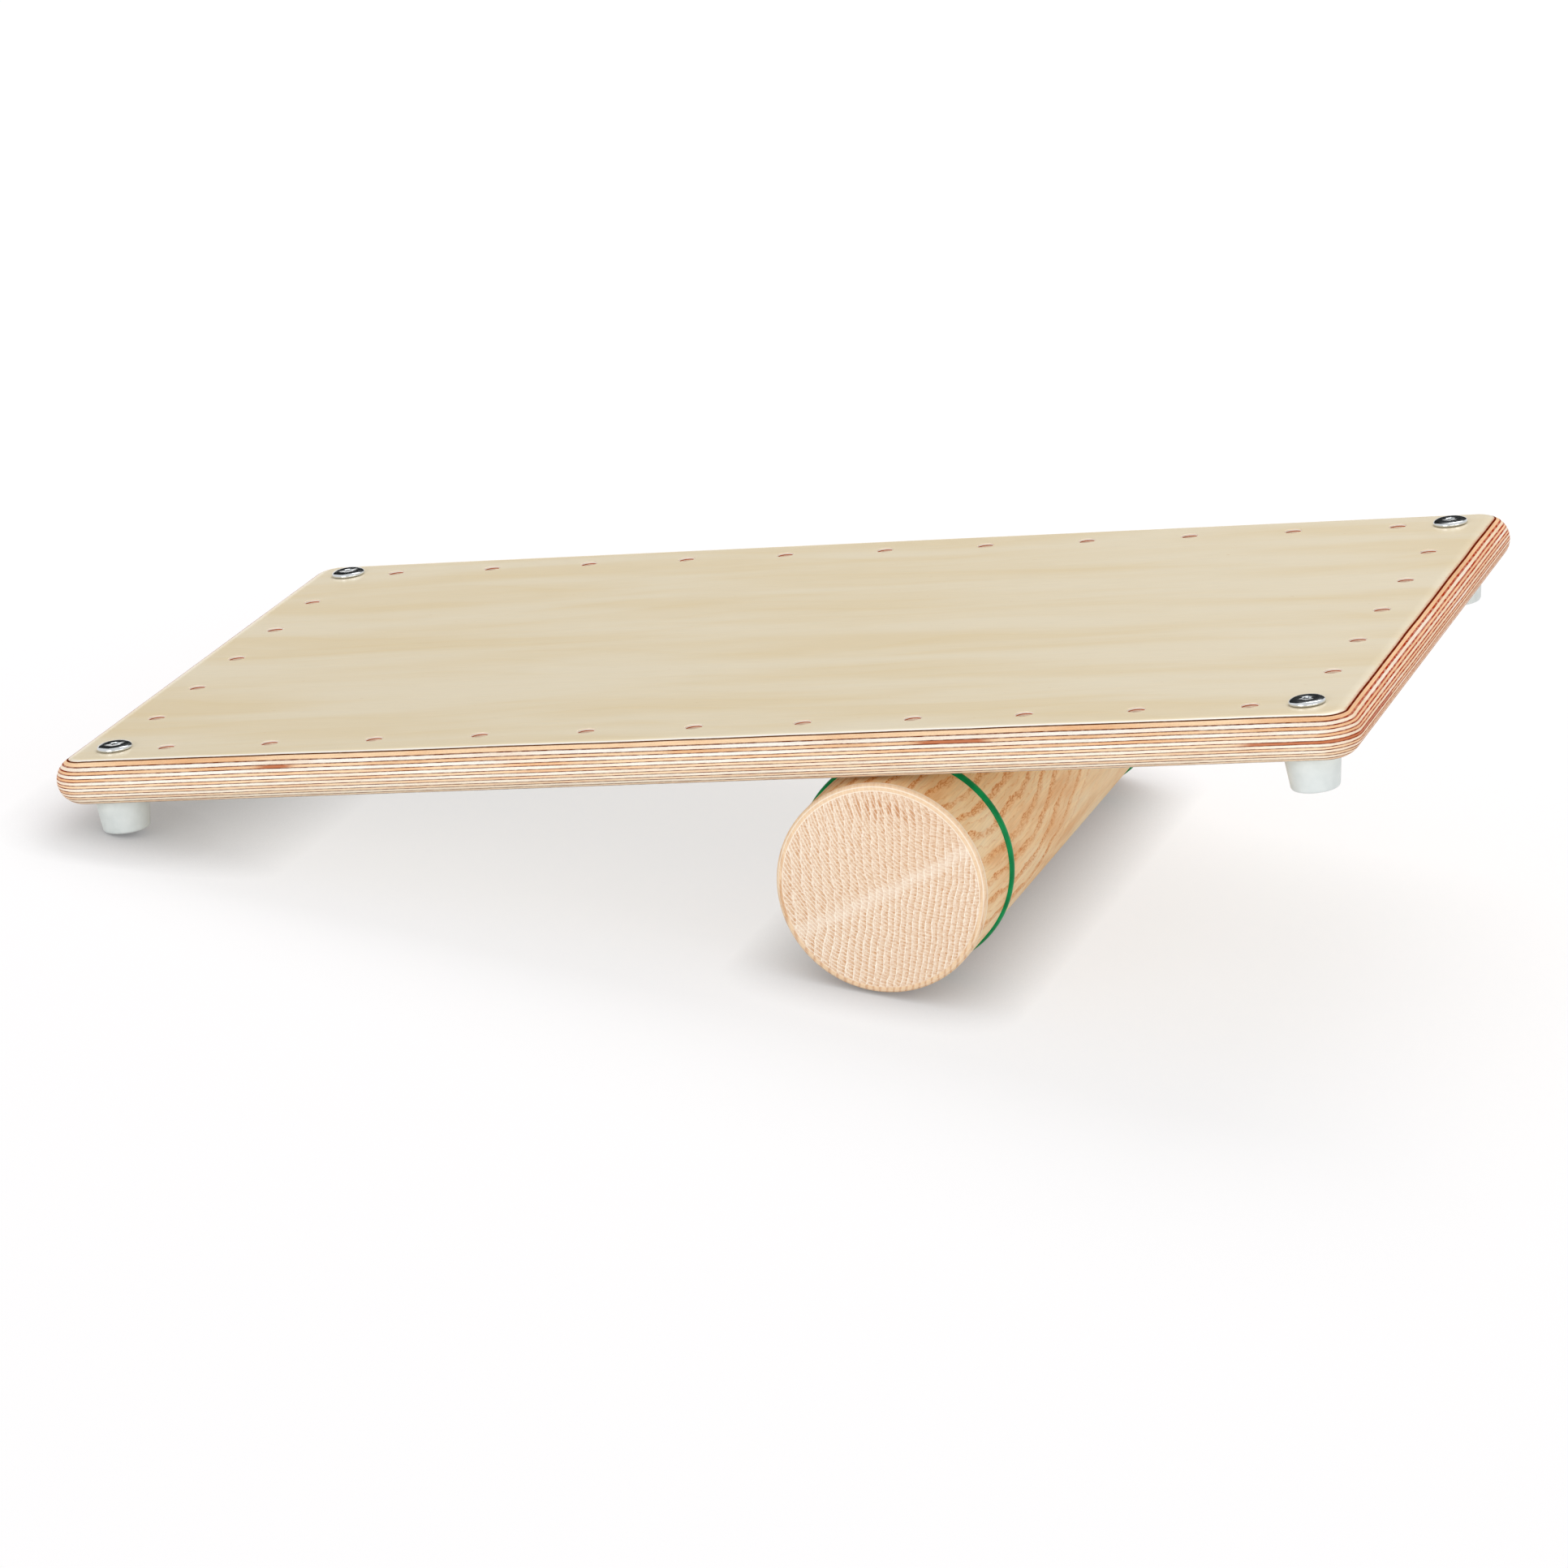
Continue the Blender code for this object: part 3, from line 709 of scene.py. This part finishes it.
def deckTree():
    # A flat outline swept by a half round for the edge, both faces filled around the holes, and
    # a wall with eased rims in each hole. The input mesh is the wall's profile.
    tree, add, given = newTree("perforatedDeck", (
        ("Length", "Float"), ("Width", "Float"), ("Thickness", "Float"),
        ("Corner Radius", "Float"), ("Hole Radius", "Float"), ("Bolt Hole Radius", "Float"),
        ("Hole Ease", "Float"), ("Pitch", "Float"), ("Rim Inset", "Float"),
        ("Holes Along", "Int"), ("Holes Across", "Int"), ("Hole Sides", "Int"),
        ("Edge Steps", "Int"), ("Corner Steps", "Int"),
        ("Place", "Vector"), ("Tilt", "Float"), ("Material", "Material")))

    half = add("Math", [given["Thickness"], 0.5], "MULTIPLY")
    flat = add("GeometryNodeCurvePrimitiveQuadrilateral",
        {"Width": add("Math", [given["Length"], given["Thickness"]], "SUBTRACT"),
        "Height": add("Math", [given["Width"], given["Thickness"]], "SUBTRACT")})
    outline = add("GeometryNodeFilletCurve", {"Curve": flat, "Count": given["Corner Steps"],
        "Radius": add("Math", [given["Corner Radius"], half], "SUBTRACT")}, mode="POLY")
    halfRound = add("GeometryNodeCurveArc", {"Resolution": given["Edge Steps"], "Radius": half,
        "Start Angle": -math.pi / 2, "Sweep Angle": math.pi})
    edge = add("GeometryNodeCurveToMesh", {"Curve": outline, "Profile Curve": halfRound})

    # Hole centres: two long rows, two short ones, and the corners for the bolts.
    spans = []
    for size, count in (("Length", "Holes Along"), ("Width", "Holes Across")):
        whole = add("Math", [given["Rim Inset"], -2.0, given[size]], "MULTIPLY_ADD")
        run = add("Math", [add("Math", [given[count], 1.0], "SUBTRACT"), given["Pitch"]],
            "MULTIPLY")
        spans.append((whole, run))
    (wholeAlong, runAlong), (wholeAcross, runAcross) = spans
    rows = add("GeometryNodeMeshGrid", {"Size X": runAlong, "Size Y": wholeAcross,
        "Vertices X": given["Holes Along"], "Vertices Y": 2})
    columns = add("GeometryNodeMeshGrid", {"Size X": wholeAlong, "Size Y": runAcross,
        "Vertices X": 2, "Vertices Y": given["Holes Across"]})
    corners = add("GeometryNodeMeshGrid", {"Size X": wholeAlong, "Size Y": wholeAcross,
        "Vertices X": 2, "Vertices Y": 2})
    profile = add("GeometryNodeMeshToCurve", {"Mesh": given["Geometry"]})
    lips = [outline]
    curved = [edge]
    for centers, radius in ((joined(add, [rows, columns]), "Hole Radius"),
                            (corners, "Bolt Hole Radius")):
        circle = add("GeometryNodeCurvePrimitiveCircle", {"Resolution": given["Hole Sides"],
            "Radius": add("Math", [given[radius], given["Hole Ease"]], "ADD")})
        wall = add("GeometryNodeCurveToMesh", {"Curve": circle, "Profile Curve": profile})
        for shape, kept in ((circle, lips), (wall, curved)):
            spots = add("GeometryNodeInstanceOnPoints", {"Points": centers, "Instance": shape})
            kept.append(add("GeometryNodeRealizeInstances", {"Geometry": spots}))
    face = add("GeometryNodeFillCurve", {"Curve": joined(add, lips)})
    lifted = add("CombineXYZ", {"Z": half})
    lowered = add("CombineXYZ", {"Z": add("Math", [half, -1.0], "MULTIPLY")})
    top = add("GeometryNodeTransform", {"Geometry": face, "Translation": lifted})
    under = add("GeometryNodeTransform", {"Geometry": face, "Translation": lowered})
    bottom = add("GeometryNodeFlipFaces", [under])
    smooth = add("GeometryNodeSetShadeSmooth", {"Geometry": joined(add, curved)})
    plain = add("GeometryNodeSetShadeSmooth", {"Geometry": joined(add, [top, bottom]),
        "Shade Smooth": False})
    welded = add("GeometryNodeMergeByDistance", {"Geometry": joined(add, [smooth, plain]),
        "Distance": 1e-5})
    endTree(add, welded, given)
    return tree


def buildDeck(material):
    # The wall's profile runs down from the upper lip, which stands out from the hole by the ease.
    ease, half, steps = deck["holeEase"], deck["thickness"] / 2, 4
    angles = [math.pi / 2 * i / steps for i in range(steps + 1)]
    upper = [(-ease * math.sin(a), half - ease * (1 - math.cos(a))) for a in angles]
    points = upper + [(x, -y) for x, y in reversed(upper)]
    mesh = bpy.data.meshes.new("holeProfile")
    mesh.from_pydata([(x, y, 0) for x, y in points],
                     [(i, i + 1) for i in range(len(points) - 1)], [])
    return bakeTree("deckPanel", mesh, deckTree(), {
        "Length": deck["length"], "Width": deck["width"], "Thickness": deck["thickness"],
        "Corner Radius": deck["cornerRadius"], "Hole Radius": deck["holeDiameter"] / 2,
        "Bolt Hole Radius": deck["boltHoleDiameter"] / 2, "Hole Ease": ease,
        "Pitch": deck["pitch"], "Rim Inset": deck["rimInset"],
        "Holes Along": deck["holesAlong"], "Holes Across": deck["holesAcross"],
        "Hole Sides": deck["holeSides"], "Edge Steps": deck["edgeSteps"],
        "Corner Steps": deck["cornerSteps"], "Place": deckPoint(0, 0, half),
        "Tilt": -deckPlace["tilt"], "Material": material})


# Parts that repeat: each is turned once and set at its points by one tree.

def placedPartTree():
    tree, add, given = newTree("placedParts", (
        ("Part", "Object"), ("Place", "Vector"), ("Tilt", "Float"), ("Material", "Material")))
    part = add("GeometryNodeObjectInfo", {"Object": given["Part"]})
    spots = add("GeometryNodeInstanceOnPoints", {"Points": given["Geometry"],
        "Instance": part.outputs["Geometry"]})
    endTree(add, spots, given)
    return tree


def placeParts(name, partMesh, points, place, tilt, material):
    spots = bpy.data.meshes.new(name + "Spots")
    spots.from_pydata(points, [], [])
    part = addObject(name + "Part", partMesh)
    bpy.context.view_layer.update()
    made = bakeTree(name, spots, partTree, {
        "Part": part, "Place": place, "Tilt": tilt, "Material": material})
    bpy.data.objects.remove(part)
    return made


# Both in millimetres, lifted by a small gap from the deck's faces.
bolt = {
    "headRadius": 8.0, "headHeight": 2.18, "rimHeight": 0.6, "flatRadius": 5.2,
    "socketFlat": 2.0, "socketDepth": 2.6, "shankRadius": 3.0, "length": 36.4,
    "lift": 0.3, "steps": 96,
}
foot = {
    "topRadius": 12.5, "bottomRadius": 10.8, "height": 16.0, "edgeRadius": 1.6,
    "recessRadius": 6.8, "seatDepth": 6.5, "boreRadius": 3.3, "lift": -0.3, "steps": 96,
}


def boltMesh(size):
    # Millimetres. From the bottom of the hex socket, out over the low dome and down the shank.
    flat, top, depth = size["socketFlat"], size["headHeight"], size["socketDepth"]
    shank, tip = size["shankRadius"], -size["length"]
    crown = size["flatRadius"]
    dome = []
    for i in range(13):
        a = math.pi / 2 * (1 - i / 12)
        dome.append((crown + (size["headRadius"] - crown) * math.cos(a),
                     size["rimHeight"] + (top - size["rimHeight"]) * math.sin(a)))
    rows = [(0, top - depth - 0.5), (flat * 0.85, top - depth, 1), (flat, top - depth + 0.1, 1),
            (flat, top - 0.2, 1), (flat + 0.06, top - 0.05, 1), (flat + 0.18, top, 0.9)]
    rows += dome + [(size["headRadius"] - 0.1, 0.1), (size["headRadius"] - 0.35, 0),
                    (shank, 0), (shank, tip + 0.6), (shank - 0.6, tip), (0, tip)]
    return turnedMesh("boltTurned", [(r * millimetre, z * millimetre, *h) for r, z, *h in rows],
                      size["steps"])


def footMesh(size):
    edge = (size["bottomRadius"] - size["edgeRadius"], size["edgeRadius"] - size["height"])
    soft = (size["topRadius"] - 0.4, -0.4)
    rows = [(size["topRadius"] - 0.4, 0), *arcRows(soft, 0.4, 60, 0, 3),
            *arcRows(edge, size["edgeRadius"], 0, -90, 8),
            (size["recessRadius"] + 0.3, -size["height"]),
            (size["recessRadius"], 0.3 - size["height"]),
            (size["recessRadius"], -size["seatDepth"]),
            (size["boreRadius"], -size["seatDepth"]), (size["boreRadius"], 0)]
    return turnedMesh("footTurned", [(r * millimetre, z * millimetre) for r, z in rows],
                      size["steps"], closed=True)


def cornerPoints(up):
    along = deck["length"] / 2 - deck["rimInset"]
    across = deck["width"] / 2 - deck["rimInset"]
    shift = deckPlace["shift"]
    lift = deckPlace["underside"] + up
    return [(shift + sx * along, sy * across, lift) for sx in (-1, 1) for sy in (-1, 1)]


# Roller and rings, turned about Z in millimetres and laid along Y.

roller = {
    "radius": 47.5, "halfLength": 174.99, "edgeRadius": 2.5, "ringInset": 41.0,
    "cordRadius": 3.0, "proud": 1.495, "gap": 0.3, "steps": 288, "cordSteps": 28,
    "center": Vector((0, 0.0035, 0.049)),
}


def layAlongY(mesh):
    mesh.transform(Matrix.Scale(millimetre, 4))
    mesh.transform(Matrix.Rotation(math.pi / 2, 4, "X"))
    return mesh


def rollerMesh(size):
    half, edge, radius = size["halfLength"], size["edgeRadius"], size["radius"]
    groove = size["cordRadius"] + size["gap"]
    center = radius + size["proud"] - size["cordRadius"]
    lip = math.degrees(math.acos((radius - center) / groove))
    rows = [(0, half), *arcRows((radius - edge, half - edge), edge, 90, 0, 8),
            *arcRows((center, half - size["ringInset"]), groove, lip, 360 - lip, 14),
            *arcRows((center, size["ringInset"] - half), groove, lip, 360 - lip, 14),
            *arcRows((radius - edge, edge - half), edge, 0, -90, 8), (0, -half)]
    return layAlongY(turnedMesh("rollerTurned", rows, size["steps"]))


def ringMesh(size):
    center = size["radius"] + size["proud"] - size["cordRadius"]
    rows = arcRows((center, 0), size["cordRadius"], 0, 360, size["cordSteps"])[:-1]
    return layAlongY(turnedMesh("ringTurned", rows, size["steps"], closed=True))


partTree = placedPartTree()

birch = birchPlywood(birchLook)
ash = turnedAsh(ashLook)
greenRubber = mouldedRubber(rubberLooks["green"])
greyRubber = mouldedRubber(rubberLooks["grey"])
nickel = platedSteel(platingLooks["nickel"])
zinc = platedSteel(platingLooks["zinc"])
print("materials made")

deckPanel = buildDeck(birch)
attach(deckPanel, "deck")
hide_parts("board")
print("deck perforated:", len(deckPanel.data.polygons), "faces")

corners = ("left_near", "left_far", "right_near", "right_far")
pivot, tilt = deckPlace["pivot"], -deckPlace["tilt"]
boltUp = deck["thickness"] + bolt["lift"] * millimetre
cornerBolts = placeParts("cornerBolts", boltMesh(bolt), cornerPoints(boltUp), pivot, tilt, nickel)
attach(cornerBolts, "deck")
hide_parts(*["bolt_" + corner for corner in corners])
footUp = foot["lift"] * millimetre
rubberFeet = placeParts("rubberFeet", footMesh(foot), cornerPoints(footUp), pivot, tilt,
                        greyRubber)
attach(rubberFeet, "deck")
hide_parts(*["foot_" + corner for corner in corners])
print("bolts and feet placed")

ashRoller = placeParts("ashRoller", rollerMesh(roller), [(0, 0, 0)], roller["center"], 0.0, ash)
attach(ashRoller, "roller")
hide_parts("roller_core")
reach = (roller["halfLength"] - roller["ringInset"]) * millimetre
gripRings = placeParts("gripRings", ringMesh(roller), [(0, -reach, 0), (0, reach, 0)],
                       roller["center"], 0.0, greenRubber)
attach(gripRings, "roller")
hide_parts("grip_ring_near", "grip_ring_far")
print("roller and rings placed")

# The washers and nuts in the feet keep their CAD shape.
for corner in corners:
    for kind in ("washer_", "nut_"):
        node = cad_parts[kind + corner]
        node.data.materials.clear()
        node.data.materials.append(zinc)


# Studio: a pale floor, a white surround, four soft lamps and a dark card for the metal.

studio = {
    "floorColor": "#EDECEA",
    "floorShown": "#939192",
    "floorGlow": 0.70,
    "contactReach": 0.036,   # m
    "contactGlow": 0.2,      # share of the glow left where the floor is all but covered
    "farGlow": 0.16,         # more glow beyond the reach of the lamps, so that it stays white
    "far": (1.8, 4.5),       # m from the middle, where that starts and is full
    "floorSize": 14.0,
    "ambient": 0.60,
    "lamps": (               # name, place and size in m, watts
        ("keyLamp", (-1.3, -2.6, 0.70), 1.6, 23.0),
        ("fillLamp", (1.3, -2.5, 0.70), 1.6, 8.5),
        ("sideLamp", (2.4, -1.4, 0.80), 1.4, 13.0),
        ("topLamp", (-0.2, 1.6, 2.1), 2.0, 36.0),
    ),
    "cards": (((-0.8, 1.7, 1.25), (3.2, 2.4)),),  # place, width and height in m
    "aim": (-0.05, 0.0, 0.08),
}


def backgroundMask(add):
    # 1 where the camera, a reflection or a clear body sees the background directly.
    path = add("LightPath").outputs
    sharp = add("Math", [path["Is Camera Ray"], path["Is Glossy Ray"]], "MAXIMUM")
    return add("Math", [sharp, path["Is Transmission Ray"]], "MAXIMUM")


def flatMesh(name, wide, tall):
    x, y = wide / 2, tall / 2
    mesh = bpy.data.meshes.new(name)
    mesh.from_pydata([(-x, -y, 0), (x, -y, 0), (x, y, 0), (-x, y, 0)], [], [(0, 1, 2, 3)])
    return mesh


def buildFloor():
    mesh = flatMesh("floor", studio["floorSize"], studio["floorSize"])
    floor = addObject("floor", mesh)
    material, add, shader = newMaterial("matt paper floor")
    material.node_tree.nodes.remove(shader)
    # Light bounces off a near white floor. Seen directly it is a mid grey under a white glow,
    # which keeps the shadows as light as they are on paper lit from all round.
    seen = backgroundMask(add)
    tone = add("Mix", [seen, studio["floorColor"], studio["floorShown"]], "RGBA")
    matt = add("BsdfDiffuse", {"Color": tone})
    # The glow fades in the crevices, so that what touches the floor keeps its contact shadow.
    openAir = add("AmbientOcclusion", {"Distance": studio["contactReach"]}, samples=8)
    glowShare = add("MapRange", [openAir.outputs["AO"], 0.0, 1.0,
        studio["contactGlow"] * studio["floorGlow"], studio["floorGlow"]])
    away = add("VectorMath", [add("TexCoord").outputs["Object"]], "LENGTH")
    farShare = add("MapRange", [away, *studio["far"], 0.0, studio["farGlow"]])
    glowAll = add("Math", [glowShare, farShare], "ADD")
    glow = add("Emission", {"Strength": add("Math", [seen, glowAll], "MULTIPLY")})
    setInputs(material.node_tree.nodes["Material Output"],
              {"Surface": add("AddShader", [matt, glow])})
    mesh.materials.append(material)


def buildWorld():
    world = bpy.data.worlds.new("whiteSurround")
    world.use_nodes = True
    add = partial(addNode, world.node_tree)
    strength = add("MapRange", [backgroundMask(add), 0.0, 1.0, studio["ambient"], 1.0])
    setInputs(world.node_tree.nodes["Background"], {"Color": "#FFFFFF", "Strength": strength})
    bpy.context.scene.world = world


def aimed(obj, place):
    obj.location = place
    toward = Vector(studio["aim"]) - Vector(place)
    obj.rotation_euler = toward.to_track_quat("-Z", "Y").to_euler()


def buildLamps():
    for name, place, size, power in studio["lamps"]:
        lamp = bpy.data.lights.new(name, "AREA")
        lamp.shape = "DISK"
        lamp.size = size
        lamp.energy = power
        aimed(addObject(name, lamp), place)


def buildCards():
    # Dark cards that only reflections see, so that the bolt heads read as metal.
    material, _, shader = newMaterial("dark matt card")
    setInputs(shader, {"Base Color": "#14181A", "Roughness": 1.0})
    for number, (place, (wide, tall)) in enumerate(studio["cards"]):
        mesh = flatMesh("card", wide, tall)
        mesh.materials.append(material)
        card = addObject("card" + str(number), mesh)
        aimed(card, place)
        card.visible_camera = False
        card.visible_shadow = False
        card.visible_diffuse = False


camera = {
    "place": (0.683534, -2.864132, 1.051562),
    "turn": (70.87097, -5.2671, 17.01401),   # degrees
    "lens": 156.829,
    "sensor": 36.0,
    "clip": (0.05, 50.0),    # m
}


def buildCamera():
    data = bpy.data.cameras.new("camera")
    data.lens = camera["lens"]
    data.sensor_width = camera["sensor"]
    data.clip_start, data.clip_end = camera["clip"]
    obj = addObject("camera", data)
    obj.location = camera["place"]
    obj.rotation_euler = [math.radians(angle) for angle in camera["turn"]]
    bpy.context.scene.camera = obj


buildFloor()
buildWorld()
buildLamps()
buildCards()
buildCamera()
bpy.context.scene.view_settings.view_transform = "Standard"
print("studio set")
